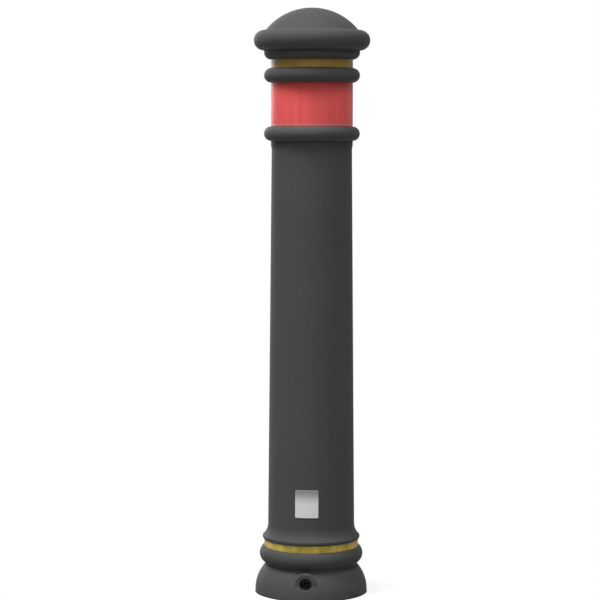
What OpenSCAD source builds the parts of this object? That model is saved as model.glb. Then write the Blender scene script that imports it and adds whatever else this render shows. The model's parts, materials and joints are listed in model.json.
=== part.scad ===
// Retractable bollard: a moulded post that sinks into a casing set in the ground.
// Origin on the post's axis at paving level, +Z up, key hole facing -Y. Millimetres.

/* [Head] */
// Height of the raised post above the paving
post_h = 1000; // [900:5:1200]
// Height of the dome above the rim
dome_h = 38; // [32:0.5:46]
// How far the edge of the dome lies inside the crown of the rim
dome_set_in = 2.8; // [1:0.1:5]
// Height of the rounded rim under the dome
rim_h = 34; // [28:0.5:42]
// How far the rim overlaps the mouth that it rests on when lowered
rim_lap = 1.8; // [1.2:0.1:5]
// Diameter of the bead under the rim
under_bead_d = 163; // [150:1:190]
// Height of the bead under the rim
under_bead_h = 15.3; // [13:0.1:20]
// Diameter of the neck that carries the bands
neck_d = 139.2; // [130:0.2:150]
// Height of the upper gold band
upper_band_h = 14.5; // [10:0.5:20]
// Diameter over each moulded ring
ring_d = 163; // [150:1:180]
// Height of each moulded ring
ring_h = 24.6; // [18:0.2:30]
// Height of the reflective band
reflective_band_h = 74; // [50:1:120]
// Height of the plain neck under the lower ring
neck_h = 13.6; // [10:0.2:30]
// Height over which the neck eases down to the column
neck_ease_h = 6; // [3:0.5:9]
// Wall of the moulded dome
cap_wall = 9; // [6:0.5:12]
// Depth of the spigot that centres the dome in the sleeve
spigot_h = 18; // [12:1:30]
// Wall of that spigot
spigot_wall = 6; // [4:0.5:8]
// Thickness of each band
band_t = 1; // [0.8:0.1:2]

/* [Column] */
// Column diameter under the neck
column_top_d = 136.8; // [132:0.2:165]
// Column diameter above the flare
column_bottom_d = 148.4; // [140:0.2:178]
// Wall of the moulded column
sleeve_wall = 8; // [6:0.5:10]
// Height of each centring ring
centring_h = 20; // [12:1:40]

/* [Base] */
// Largest diameter of the base
base_d = 192.4; // [188:0.2:232]
// Height of the bell-shaped foot
base_h = 50; // [48:0.5:60]
// Radius of the bell's outline
bell_r = 64; // [60:0.5:80]
// Height of the widest place of the bell
bell_z = 4; // [3:0.5:8]
// Rounding of the bottom edge
base_edge_r = 2.5; // [1:0.1:3]
// Thickness of the base where it stands on the foot plate
base_wall = 12; // [10:0.5:14]
// Height of the straight part inside the base
base_straight_h = 20; // [16:0.5:24]
// Diameter in the groove above the bell
groove_d = 157.6; // [154:0.2:160]
// Diameter over the lower bead
lower_bead_d = 177.4; // [170:0.2:186]
// Height of the lower bead
lower_bead_h = 30; // [28:0.5:34]
// Radius of the lower bead's outline
lower_bead_r = 17; // [16:0.5:20]
// Diameter over the lower gold band
lower_band_d = 161.6; // [158:0.2:164]
// Height of the lower gold band
lower_band_h = 12.5; // [8:0.5:16]
// Diameter of the flared edge above the lower gold band
flare_d = 166.8; // [164:0.2:172]
// Height of the flare
flare_h = 26; // [24:0.5:40]
// Radius of the flare's hollow outline
flare_r = 27; // [24:0.5:40]
// Rounding of the flared edge
flare_edge_r = 3; // [2:0.1:4]

/* [Core and carriage] */
// Room between the column's wall and the steel core at the neck
core_gap = 3.25; // [2:0.25:6]
// Wall of the steel core
core_wall = 4.5; // [3:0.5:6]
// Thickness of the plate that the sleeve stands on
foot_plate_t = 8; // [6:1:12]
// Thickness of each carriage plate
plate_t = 10; // [8:1:14]
// Height of the carriage over its two plates
carriage_h = 185; // [170:5:240]
// How far the carriage reaches out under the mouth
stop_lap = 11; // [8:0.5:16]
// Width of each guide shoe
shoe_w = 30; // [26:1:36]
// Depth of each guide shoe behind its groove
shoe_back = 17; // [16:1:24]
// How far each guide shoe grips past the carriage plates
shoe_grip = 4; // [2:0.5:8]

/* [Casing] */
// Running room between the base and the mouth
mouth_clear = 0.8; // [0.5:0.1:2]
// Wall of the collar's upstand
collar_wall = 8; // [6:0.5:12]
// Height of the collar
collar_h = 34; // [28:1:44]
// Thickness of the collar's flange
collar_flange_t = 12; // [10:1:14]
// How far the collar's flange reaches over the casing's flange
collar_lap = 20; // [18:1:30]
// Width of the rubber seat in the mouth
seat_w = 4; // [3:0.5:5]
// Depth of the rubber seat
seat_t = 6; // [4:0.5:8]
// Thickness of the rubber ring that stops the carriage
stop_t = 8; // [5:0.5:12]
// Room between the carriage and the casing's wall
annulus_w = 22.2; // [20:0.1:30]
// Wall of the casing
casing_wall = 6.3; // [4:0.1:8]
// Width of the casing's flange outside the collar
flange_w = 22; // [20:1:30]
// Thickness of the casing's flange
flange_t = 12; // [10:1:16]
// Diameter of the anchor holes
anchor_hole_d = 14; // [10:1:16]
// Number of anchor holes
anchor_count = 8; // [4:1:12]
// Diameter of the collar's screws
collar_screw_d = 8; // [6:1:8]
// Thickness of the casing's base plate
base_plate_t = 12; // [8:1:16]
// Height of the rubber buffers on the base plate
buffer_h = 27; // [22:1:40]
// Diameter of each buffer
buffer_d = 36; // [30:1:44]
// Outside diameter of the drain spigot
drain_d = 60; // [50:1:70]
// Wall of the drain spigot
drain_wall = 3; // [2:0.5:5]
// Length of the drain spigot
drain_h = 40; // [30:1:80]
// Thickness of each guide rail
rail_t = 10; // [8:0.5:14]
// How far each guide rail reaches into the carriage
rail_reach = 5; // [4:0.5:8]
// Radial length of each anchor lug
lug_reach = 60; // [40:1:90]
// Height of each anchor lug
lug_h = 50; // [40:1:80]
// Thickness of each anchor lug
lug_t = 8; // [6:1:12]
// Diameter of the hole in each anchor lug
lug_hole_d = 18; // [12:1:22]

/* [Lock] */
// Height of the key hole above the paving
lock_z = 29; // [28:0.5:34]
// Diameter of the key hole
key_hole_d = 21.2; // [18:0.2:23]
// Diameter of the moulded boss round the key hole
lock_boss_d = 36; // [32:0.5:40]
// Distance of the boss's face from the axis
lock_boss_y = 91.5; // [90:0.1:93]
// Diameter of the barrel that the key turns
barrel_d = 20; // [17:0.5:21]
// Depth of the barrel's face behind the boss's face
barrel_depth = 24; // [23:0.5:28]
// Wall of the housing that the barrel turns in
housing_wall = 4.4; // [3:0.2:6]
// Diameter of the barrel's shaft
barrel_shaft_d = 12; // [10:0.5:13]
// Square of the key socket
key_square = 9; // [7:0.5:10]
// Module of the rack and its pinion
rack_module = 2; // [1.5:0.1:2.4]
// Number of teeth on the pinion
pinion_teeth = 12; // [12:4:16]
// Thickness of the drawbar and pinion
drawbar_t = 5; // [4:0.5:7]
// Width of the drawbar's arm behind its teeth
drawbar_arm_w = 9; // [7:0.5:11]
// Diameter of each lock bolt
bolt_d = 16; // [12:0.5:20]
// Travel of each lock bolt
bolt_throw = 12; // [10:0.5:15]
// Diameter of the pins that ride in the drawbar's slots
follower_d = 6; // [5:0.5:7]
// Distance of the bolts' axis below the upper carriage plate
bolt_drop = 32; // [28:1:44]
// Width of each bolt keeper and bolt guide
keeper_w = 32; // [28:1:40]

/* [Gas strut] */
// Diameter of the strut's cylinder
strut_d = 34; // [28:0.5:41]
// Wall of the strut's cylinder
strut_wall = 3; // [2:0.5:4]
// Diameter of the strut's rod
rod_d = 16; // [12:0.5:20]
// Diameter of the strut's end pins
end_pin_d = 12; // [8:0.5:14]
// Width of the strut's end eyes
eye_w = 14; // [10:0.5:20]
// Thickness of each bracket cheek
cheek_t = 8; // [5:0.5:10]
// Distance from each bracket's seat to its pin
bracket_h = 25; // [22:1:32]

/* [Fits] */
// Running clearance of moving pieces
run_clear = 0.3; // [0.2:0.05:0.5]
// Gap at pressed, glued and welded seats
seat_gap = 0.1; // [0.05:0.05:0.2]
// Gap left at the ends of the travel
stop_gap = 0.3; // [0.2:0.1:0.6]

/* [Hidden] */
$fn = 96;
// Over-length of every cutting shape
cut = 1;

// Radii of the photographed outline
base_r = base_d / 2;
mouth_r = base_r + mouth_clear;
rim_r = mouth_r + rim_lap;
rim_tube_r = rim_h / 2;
rim_centre_r = rim_r - rim_tube_r;
neck_r = neck_d / 2;
band_seat_r = neck_r - band_t - seat_gap;
column_top_r = column_top_d / 2;
column_bottom_r = column_bottom_d / 2;
lower_band_r = lower_band_d / 2;
flare_out_r = flare_d / 2;
dome_edge_r = rim_centre_r - dome_set_in;
dome_r = (dome_edge_r * dome_edge_r + dome_h * dome_h) / (2 * dome_h);

// Heights of the photographed outline, from the top down and from the paving up
dome_z = post_h - dome_h;
rim_z = dome_z - rim_tube_r;
upper_band_top = rim_z - rim_tube_r - under_bead_h;
upper_band_z = upper_band_top - upper_band_h;
seam_z = upper_band_z + upper_band_h / 2;
upper_ring_z = upper_band_z - ring_h / 2;
reflective_top = upper_band_z - ring_h;
reflective_z = reflective_top - reflective_band_h;
lower_ring_z = reflective_z - ring_h / 2;
neck_z = reflective_z - ring_h - neck_h;
lower_bead_top = base_h + lower_bead_h;
flare_z = lower_bead_top + lower_band_h;
flare_top = flare_z + flare_h;

// Inside of the sleeve and the steel core
sleeve_in_r = column_top_r - sleeve_wall;
sleeve_low_r = column_bottom_r - sleeve_wall;
groove_in_r = groove_d / 2 - sleeve_wall;
base_in_r = base_r - base_wall;
spigot_r = sleeve_in_r - 2 * seat_gap;
core_r = sleeve_in_r - core_gap;
core_in_r = core_r - core_wall;
spigot_room = 3;
core_top = seam_z - spigot_h - spigot_room;
groove_half_h = 6;
foot_plate_set_in = 3;
sleeve_screw_d = 6;
sleeve_screw_grip = 14;
sleeve_screw_len = foot_plate_t + sleeve_screw_grip;
sleeve_screw_r = base_r - base_wall / 2 - 1;
lower_centring_lift = 8;

// Collar, stop and travel: the rim comes to rest on the mouth's edge, rounded up to a tenth
seat_drop = ceil(10 * sqrt(pow(rim_tube_r, 2) - pow(rim_tube_r - rim_lap, 2))) / 10;
stroke = rim_z - seat_drop - stop_gap;
collar_r = mouth_r + collar_wall;
carriage_r = mouth_r + stop_lap;
carriage_top = -collar_h - stop_t - stop_gap;
plate_under = carriage_top - plate_t;
carriage_bottom = carriage_top - carriage_h;
lower_plate_top = carriage_bottom + plate_t;

// Casing and its flanges
casing_in_r = carriage_r + annulus_w;
casing_r = casing_in_r + casing_wall;
collar_flange_r = casing_in_r + collar_lap;
flange_r = collar_flange_r + flange_w;
flange_under = -collar_h - flange_t;
collar_screw_r = (casing_in_r + collar_flange_r) / 2;
anchor_r = (collar_flange_r + flange_r) / 2;
buffer_top = carriage_bottom - stroke - stop_gap;
casing_floor = buffer_top - buffer_h;
casing_bottom = casing_floor - base_plate_t;
fixing_r = (core_r + carriage_r) / 2;
drain_y = fixing_r;
buffer_angles = [-90, 30, 150];
rail_in_r = carriage_r - rail_reach;
shoe_in_r = rail_in_r - shoe_back;
shoe_screw_r = shoe_in_r + shoe_back / 2;
shoe_screw_d = 8;
shoe_screw_grip = 20;
shoe_screw_len = plate_t + shoe_screw_grip;
notch_clear = 1;
notch_depth = 1.5;
corner_angles = [-45, 45, 135, 225];
lug_z = casing_floor / 2;
lug_count = 4;
collar_screw_start = 180 / anchor_count;
collar_head_r = 0.8 * collar_screw_d;
collar_head_h = 0.9 * collar_screw_d;
collar_head_z = -collar_h + collar_flange_t - collar_head_h;
stop_set_in = 1;
stop_mouth_gap = 1.5;
drain_r = drain_d / 2;
drain_in_r = drain_r - drain_wall;
strainer_t = 3;
strainer_lap = 4;
strainer_hole_r = 4.9;
strainer_hole_count = 8;
buffer_taper = 4;

// Gas strut between the casing's floor and the head plate
foot_pin_z = casing_floor + bracket_h;
eye_r = end_pin_d;
cheek_w = 2 * eye_r;
bracket_base_t = 8;
strut_r = strut_d / 2;
strut_in_r = strut_r - strut_wall;
rod_r = rod_d / 2;
gland_h = 25;
piston_h = 20;
piston_room = 3;
eye_room = 5;
shank_room = 2;
strut_bottom = foot_pin_z + eye_r + eye_room + stroke;
piston_z = strut_bottom + gland_h + piston_room;
head_plate_t = 12;
head_seat_z = core_top - head_plate_t;
head_pin_z = head_seat_z - bracket_h;
strut_top = head_pin_z - eye_r - eye_room;
strut_end_t = 12;
bracket_lap = 4;
pin_end = 3;
pin_head_lap = 2;
tie_rod_r = 6;
tie_rod_z = head_seat_z + 2;
tie_nut_r = 11;
tie_nut_h = 10;

// Lock: pinion, drawbar and two bolts, stacked in front of the strut
bolt_r = bolt_d / 2;
follower_r = follower_d / 2;
bolt_room = 1;
bolt_y = strut_r + bolt_r + bolt_room;
bolt_z = plate_under - bolt_drop;
drawbar_room = 2;
drawbar_y = bolt_y + bolt_r + drawbar_room;
drawbar_front_y = drawbar_y + drawbar_t;
rack_pitch = PI * rack_module;
pinion_r = rack_module * pinion_teeth / 2;
addendum = 0.65 * rack_module;
root_clear = 0.35;
dedendum = addendum + root_clear;
backlash = 0.3;
pressure_angle = 20;
rack_travel = pinion_r * PI / 2;
arm_in_x = pinion_r + dedendum;
arm_out_x = arm_in_x + drawbar_arm_w;
follower_room = 2.6;
follower_x = follower_r + follower_room;
slot_r = follower_r + run_clear;
slot_wall = 4;
cam_w = follower_x + bolt_throw + slot_r + slot_wall;
cam_top = bolt_z + rack_travel + slot_r + slot_wall;
cam_bottom = bolt_z - slot_r - slot_wall;
spare_rack = 1.5 * rack_pitch;
rack_top = lock_z + rack_travel + spare_rack;
stem_r = 6;
stem_guide_h = 15;
stem_room = 6;
stem_guide_top = cam_bottom - rack_travel - stem_room;
stem_over = 4;
stem_bottom = stem_guide_top - stem_guide_h - stem_over;
arm_guide_h = 20;
arm_guide_top = (lock_z - spare_rack - rack_travel + cam_top + arm_guide_h) / 2;
guide_wall = 3;
bolt_in_x = 0.6;
keeper_room = 2;
keeper_x = carriage_r + keeper_room;
bolt_tip_room = 4;
bolt_tip_x = keeper_x - bolt_tip_room;
bolt_chamfer = 2;
bolt_guide_room = 3;
bolt_guide_x = core_r + bolt_guide_room;
bolt_nose = 8;
bolt_guide_out_x = bolt_tip_x - bolt_nose;
key_hole_r = key_hole_d / 2;
barrel_r = barrel_d / 2;
barrel_bore_r = barrel_r + run_clear;
barrel_lip = 1.7;
housing_r = barrel_bore_r + housing_wall;
housing_front_y = groove_in_r - stop_gap;
barrel_front_y = lock_boss_y - barrel_depth;
barrel_back_room = 3;
barrel_back_y = drawbar_front_y + barrel_back_room;
shaft_r = barrel_shaft_d / 2;
circlip_t = 2;
circlip_lap = 3;
shaft_over = 4;
shaft_back_y = drawbar_y - shaft_over;

// Lifting bush in the crown of the dome
bush_r = 10;
bush_flange_r = 18;
bush_flange_t = 6;
bush_thread_r = 5.1;
bush_set_in = 1;
bush_top = post_h - bush_set_in;
bush_h = 37;
bush_bottom = bush_top - bush_h;
bush_thread_z = bush_bottom + 12;
bush_socket_h = 8;

charcoal = "#434344";
gold = "#b8963a";
red = "#d14a48";
zinc = "#b9bcc0";
dark_steel = "#6c7076";
rubber = "#1f1f20";
nylon = "#e6e2d6";
brass = "#c8a24a";

// A ring or disc between two heights
module ring(outer_r, inner_r, z0, z1) {
    translate([0, 0, z0])
        difference() {
            cylinder(h = z1 - z0, r = outer_r);
            translate([0, 0, -cut]) cylinder(h = z1 - z0 + 2 * cut, r = inner_r);
        }
}

// A round bar along Y from the distance near to the distance far in front of the axis
module front_bar(near, far, r, z) {
    translate([0, -near, z]) rotate([90, 0, 0]) cylinder(h = far - near, r = r);
}

// A round bar along X
module side_bar(x0, x1, r, y, z) {
    translate([x0, y, z]) rotate([0, 90, 0]) cylinder(h = x1 - x0, r = r);
}

// A plate drawn in X and Z, its back at the distance near in front of the axis
module front_plate(near, t) {
    translate([0, -near, 0]) rotate([90, 0, 0]) linear_extrude(t) children();
}

// A half-outline part reaching from the axis to a radius
module band_area(r, z0, z1) {
    translate([0, z0]) square([r, z1 - z0]);
}

// Countersunk screw with its flat head up at z = 0
module flat_screw(d, len) {
    head_h = d / 2;
    translate([0, 0, -head_h]) cylinder(h = head_h, r1 = d / 2, r2 = d);
    translate([0, 0, -len]) cylinder(h = len - head_h, r = d / 2);
}

// Room for that screw, larger all round by the seat gap
module flat_screw_room(d, len) {
    head_h = d / 2;
    translate([0, 0, -head_h]) cylinder(h = head_h + seat_gap, r1 = d / 2 + seat_gap, r2 = d + 2 * seat_gap);
    translate([0, 0, -len - seat_gap]) cylinder(h = len, r = d / 2 + seat_gap);
    cylinder(h = cut, r = d + seat_gap);
}

// Outline of the bell-shaped foot with its rounded bottom edge
module bell_outline() {
    intersection() {
        translate([base_r - bell_r, bell_z]) circle(bell_r);
        union() {
            band_area(base_r, base_edge_r, base_h + cut);
            band_area(base_r - base_edge_r, 0, base_h);
            translate([base_r - base_edge_r, base_edge_r]) circle(base_edge_r);
        }
    }
}

// Outline of the lower bead, a round whose lowest point meets the top of the bell
module lower_bead_outline() {
    intersection() {
        translate([lower_bead_d / 2 - lower_bead_r, base_h + lower_bead_r]) circle(lower_bead_r);
        band_area(lower_bead_d, base_h, lower_bead_top);
    }
    band_area(groove_d / 2, base_h - groove_half_h, base_h + groove_half_h);
}

// Outline of the flare: a hollow curve that runs out into a rounded edge
module flare_outline() {
    edge_z = flare_z + flare_edge_r;
    difference() {
        band_area(flare_out_r, edge_z, flare_top);
        translate([column_bottom_r + flare_r, flare_top]) circle(flare_r);
    }
    band_area(flare_out_r - flare_edge_r, flare_z, edge_z + flare_edge_r);
    translate([flare_out_r - flare_edge_r, edge_z]) circle(flare_edge_r);
}

module ring_outline(z) {
    translate([ring_d / 2 - ring_h / 2, z]) circle(ring_h / 2);
}

// Outline of the column, its neck and the seats of the bands
module column_outline() {
    polygon([
        [0, flare_top], [column_bottom_r, flare_top], [column_top_r, neck_z],
        [neck_r, neck_z + neck_ease_h], [neck_r, lower_ring_z], [0, lower_ring_z]
    ]);
    band_area(band_seat_r, lower_ring_z, seam_z);
    ring_outline(lower_ring_z);
    ring_outline(upper_ring_z);
}

module sleeve_outline() {
    bell_outline();
    lower_bead_outline();
    band_area(lower_band_r - band_t - seat_gap, lower_bead_top, flare_z + flare_edge_r);
    flare_outline();
    column_outline();
}

// Hollow of the sleeve: wide in the base, then a slow taper up the column
module sleeve_hollow() {
    polygon([
        [0, -cut], [base_in_r, -cut], [base_in_r, base_straight_h],
        [groove_in_r, base_h - groove_half_h], [groove_in_r, flare_z],
        [sleeve_low_r, flare_top], [sleeve_in_r, neck_z], [sleeve_in_r, seam_z + cut], [0, seam_z + cut]
    ]);
}

// Boss round the key hole, a flat face with a rounded edge
module lock_boss() {
    edge_r = 1.5;
    boss_r = lock_boss_d / 2;
    translate([0, 0, lock_z])
        rotate([90, 0, 0])
            rotate_extrude()
                union() {
                    square([boss_r, lock_boss_y - edge_r]);
                    square([boss_r - edge_r, lock_boss_y]);
                    translate([boss_r - edge_r, lock_boss_y - edge_r]) circle(edge_r);
                }
}

// Inner end of the boss, a stub that reaches back to the lock's housing
module lock_boss_stub() {
    front_bar(housing_front_y + stop_gap, base_in_r, lock_boss_d / 2, lock_z);
}

// Key hole, opening slightly from just behind the boss's face to past the widest place of the bell
module key_hole() {
    lip = 1;
    opening = 0.2;
    reach = base_r + cut - lock_boss_y + lip;
    front_bar(core_r, lock_boss_y, key_hole_r, lock_z);
    translate([0, -lock_boss_y + lip, lock_z])
        rotate([90, 0, 0]) cylinder(h = reach, r1 = key_hole_r, r2 = key_hole_r + opening * reach);
}

// Puts four copies at the corners between the axes
module at_corners(r) {
    for (a = corner_angles)
        rotate([0, 0, a]) translate([r, 0, 0]) children();
}

module post_sleeve() {
    color(charcoal)
        difference() {
            union() {
                difference() {
                    union() {
                        rotate_extrude() sleeve_outline();
                        lock_boss();
                    }
                    rotate_extrude() sleeve_hollow();
                }
                lock_boss_stub();
            }
            key_hole();
            at_corners(sleeve_screw_r)
                translate([0, 0, -foot_plate_t])
                    mirror([0, 0, 1]) flat_screw_room(sleeve_screw_d, sleeve_screw_len);
        }
}

// Outline of the dome, its rim and the quarter-round bead below
module cap_outline() {
    bead_r = under_bead_d / 2 - neck_r;
    bead_z = upper_band_top + bead_r;
    intersection() {
        translate([0, post_h - dome_r]) circle(dome_r);
        band_area(dome_edge_r, rim_z, post_h);
    }
    translate([rim_centre_r, rim_z]) circle(rim_tube_r);
    band_area(under_bead_d / 2, bead_z, rim_z);
    intersection() {
        translate([neck_r, bead_z]) circle(bead_r);
        band_area(under_bead_d / 2, upper_band_top, bead_z);
    }
    band_area(neck_r, upper_band_top, bead_z);
    band_area(band_seat_r, seam_z, upper_band_top);
    band_area(spigot_r, seam_z - spigot_h, seam_z);
}

module cap_hollow() {
    band_area(spigot_r - spigot_wall, seam_z - spigot_h - cut, rim_z);
    intersection() {
        translate([0, post_h - dome_r]) circle(dome_r - cap_wall);
        band_area(rim_centre_r - cap_wall, rim_z - cap_wall, post_h);
    }
}

module dome_cap() {
    color(charcoal)
        difference() {
            rotate_extrude() difference() {
                cap_outline();
                cap_hollow();
            }
            translate([0, 0, rim_z]) cylinder(h = post_h, r = bush_r + seat_gap);
        }
}

// Thin band glued round the post, a little short of its seat at both ends
module glued_band(r, z0, z1) {
    end_gap = 0.25;
    ring(r, r - band_t, z0 + end_gap, z1 - end_gap);
}

module upper_gold_band() {
    color(gold) glued_band(neck_r, upper_band_z, upper_band_top);
}

module reflective_band() {
    color(red) glued_band(neck_r, reflective_z, reflective_top);
}

module lower_gold_band() {
    color(gold) glued_band(lower_band_r, lower_bead_top, flare_z);
}

module core_tube() {
    hole_r = bolt_r + run_clear;
    color(zinc)
        difference() {
            ring(core_r, core_in_r, carriage_bottom, core_top);
            front_bar(0, core_r + cut, housing_r + seat_gap, lock_z);
            side_bar(-core_r - cut, core_r + cut, hole_r, -bolt_y, bolt_z);
        }
}

module head_plate() {
    color(zinc)
        difference() {
            translate([0, 0, head_seat_z]) cylinder(h = head_plate_t, r = core_in_r - seat_gap);
            translate([0, 0, tie_rod_z]) cylinder(h = head_plate_t, r = tie_rod_r + seat_gap);
        }
}

module cap_tie_rod() {
    rod_z = tie_rod_z + seat_gap;
    color(zinc) translate([0, 0, rod_z]) cylinder(h = bush_bottom + bush_socket_h - rod_z, r = tie_rod_r);
}

module tie_rod_nut() {
    color(zinc)
        translate([0, 0, core_top])
            difference() {
                cylinder(h = tie_nut_h, r = tie_nut_r, $fn = 6);
                translate([0, 0, -cut]) cylinder(h = tie_nut_h + 2 * cut, r = tie_rod_r + seat_gap);
            }
}

// Flanged bush: threaded from above for a lifting eye, sits on the tie rod
module lifting_bush() {
    inside_r = dome_r - cap_wall;
    flange_top = post_h - dome_r + sqrt(pow(inside_r, 2) - pow(bush_flange_r, 2)) - stop_gap;
    color(brass)
        difference() {
            union() {
                translate([0, 0, bush_bottom]) cylinder(h = bush_top - bush_bottom, r = bush_r);
                translate([0, 0, flange_top - bush_flange_t]) cylinder(h = bush_flange_t, r = bush_flange_r);
            }
            translate([0, 0, bush_thread_z]) cylinder(h = post_h, r = bush_thread_r);
            translate([0, 0, bush_bottom - cut])
                cylinder(h = bush_socket_h + stop_gap + cut, r = tie_rod_r + seat_gap);
        }
}

// Ring that centres the sleeve on the core, sized to the narrower end of its seat
module centring_ring(z) {
    taper = (sleeve_low_r - sleeve_in_r) / (neck_z - flare_top);
    top = min(z + centring_h, neck_z);
    seat_r = z < flare_z ? groove_in_r : sleeve_in_r + taper * (neck_z - top);
    color(nylon) ring(seat_r - stop_gap, core_r + seat_gap, z, z + centring_h);
}

module upper_centring_ring() { centring_ring(reflective_z); }
module middle_centring_ring() { centring_ring((flare_top + neck_z) / 2); }
module lower_centring_ring() { centring_ring(base_h + lower_centring_lift); }

module foot_plate() {
    color(zinc)
        difference() {
            ring(base_r - foot_plate_set_in, core_r + seat_gap, -foot_plate_t, 0);
            at_corners(sleeve_screw_r)
                translate([0, 0, -foot_plate_t])
                    mirror([0, 0, 1]) flat_screw_room(sleeve_screw_d, sleeve_screw_len);
        }
}

module sleeve_screws() {
    color(zinc)
        at_corners(sleeve_screw_r)
            translate([0, 0, -foot_plate_t]) mirror([0, 0, 1]) flat_screw(sleeve_screw_d, sleeve_screw_len);
}

// Round plate welded to the core, notched to clear the rails
module carriage_plate(z) {
    notch_w = rail_t + 2 * notch_clear;
    difference() {
        ring(carriage_r, core_r + seat_gap, z, z + plate_t);
        for (a = corner_angles)
            rotate([0, 0, a])
                translate([rail_in_r - notch_depth, -notch_w / 2, z - cut])
                    cube([carriage_r, notch_w, plate_t + 2 * cut]);
    }
}

module carriage_upper_plate() {
    color(zinc)
        difference() {
            carriage_plate(plate_under);
            at_corners(shoe_screw_r)
                translate([0, 0, carriage_top]) flat_screw_room(shoe_screw_d, shoe_screw_len);
        }
}

module carriage_lower_plate() {
    color(zinc)
        difference() {
            carriage_plate(carriage_bottom);
            at_corners(shoe_screw_r)
                translate([0, 0, carriage_bottom])
                    mirror([0, 0, 1]) flat_screw_room(shoe_screw_d, shoe_screw_len);
        }
}

// Shoe with a groove that runs on one rail
module guide_shoe(a) {
    groove_w = rail_t + 2 * run_clear;
    shoe_h = plate_under - lower_plate_top;
    color(nylon)
        rotate([0, 0, a])
            difference() {
                translate([shoe_in_r, -shoe_w / 2, lower_plate_top])
                    cube([carriage_r + shoe_grip - shoe_in_r, shoe_w, shoe_h]);
                translate([rail_in_r - run_clear, -groove_w / 2, lower_plate_top - cut])
                    cube([carriage_r, groove_w, shoe_h + 2 * cut]);
                translate([shoe_screw_r, 0, carriage_top]) flat_screw_room(shoe_screw_d, shoe_screw_len);
                translate([shoe_screw_r, 0, carriage_bottom])
                    mirror([0, 0, 1]) flat_screw_room(shoe_screw_d, shoe_screw_len);
            }
}

module shoe_screws() {
    color(zinc)
        at_corners(shoe_screw_r) {
            translate([0, 0, carriage_top]) flat_screw(shoe_screw_d, shoe_screw_len);
            translate([0, 0, carriage_bottom]) mirror([0, 0, 1]) flat_screw(shoe_screw_d, shoe_screw_len);
        }
}

// Tube through the core's wall, with a lip that keeps the barrel in
module lock_housing() {
    color(dark_steel)
        difference() {
            front_bar(barrel_back_y, housing_front_y, housing_r, lock_z);
            front_bar(barrel_back_y - cut, barrel_front_y + run_clear, barrel_bore_r, lock_z);
            front_bar(barrel_front_y, housing_front_y + cut, barrel_r - barrel_lip, lock_z);
        }
}

// Barrel with a square key socket, stepped down to the pinion's shaft
module key_barrel() {
    socket_depth = 9;
    color(dark_steel)
        difference() {
            union() {
                front_bar(barrel_back_y, barrel_front_y, barrel_r, lock_z);
                front_bar(shaft_back_y, barrel_back_y + cut, shaft_r, lock_z);
            }
            translate([-key_square / 2, -barrel_front_y - cut, lock_z - key_square / 2])
                cube([key_square, socket_depth + cut, key_square]);
        }
}

// Angle that an involute has unrolled at radius r, in degrees
function unroll(base, r) = sqrt(pow(r / base, 2) - 1) * 180 / PI - acos(base / r);

// Half the angle of a pinion tooth at radius r, in degrees
function tooth_half(base, r) =
    (rack_pitch - backlash) / 4 / pinion_r * 180 / PI + unroll(base, pinion_r) - unroll(base, max(r, base));

module pinion_outline() {
    base = pinion_r * cos(pressure_angle);
    root = pinion_r - dedendum;
    steps = 5;
    radii = [root, for (i = [0 : steps]) base + (pinion_r + addendum - base) * i / steps];
    flank = [for (r = radii) [r, tooth_half(base, r)]];
    tooth = concat(
        [for (p = flank) p[0] * [cos(p[1]), -sin(p[1])]],
        [for (i = [len(flank) - 1 : -1 : 0]) flank[i][0] * [cos(flank[i][1]), sin(flank[i][1])]]
    );
    circle(root + 0.2);
    for (i = [0 : pinion_teeth - 1])
        rotate(i * 360 / pinion_teeth) polygon(tooth);
}

module lock_pinion() {
    color(dark_steel)
        translate([0, 0, lock_z])
            front_plate(drawbar_y, drawbar_t)
                difference() {
                    pinion_outline();
                    circle(shaft_r + seat_gap);
                }
}

module barrel_circlip() {
    color(dark_steel)
        translate([0, 0, lock_z])
            front_plate(drawbar_y - circlip_t, circlip_t - seat_gap)
                difference() {
                    circle(shaft_r + circlip_lap);
                    circle(shaft_r + seat_gap);
                }
}

// Rack teeth along the arm, a gap of the rack facing the pinion's axis
module rack_teeth() {
    half = (rack_pitch - backlash) / 4;
    slope = tan(pressure_angle);
    first = -2;
    last = floor((rack_top - lock_z) / rack_pitch) - 1;
    for (i = [first : last])
        translate([pinion_r, lock_z + (i + 0.5) * rack_pitch])
            polygon([
                [-addendum, half - addendum * slope], [-addendum, -half + addendum * slope],
                [dedendum + 0.2, -half - dedendum * slope], [dedendum + 0.2, half + dedendum * slope]
            ]);
}

// Sloping slot that carries a follower pin outwards as the drawbar goes down
module cam_slot() {
    slot_len = norm([bolt_throw, rack_travel]);
    slope = atan2(rack_travel, bolt_throw);
    translate([follower_x, bolt_z])
        rotate(slope) {
            circle(slot_r);
            translate([0, -slot_r]) square([slot_len, 2 * slot_r]);
            translate([slot_len, 0]) circle(slot_r);
        }
}

module lock_drawbar() {
    color(zinc)
        front_plate(drawbar_y, drawbar_t)
            difference() {
                union() {
                    translate([arm_in_x, cam_bottom]) square([drawbar_arm_w, rack_top - cam_bottom]);
                    rack_teeth();
                    translate([-cam_w, cam_bottom]) square([2 * cam_w, cam_top - cam_bottom]);
                    translate([-stem_r, stem_bottom]) square([2 * stem_r, cam_bottom - stem_bottom + cut]);
                }
                cam_slot();
                mirror([1, 0]) cam_slot();
            }
}

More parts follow.
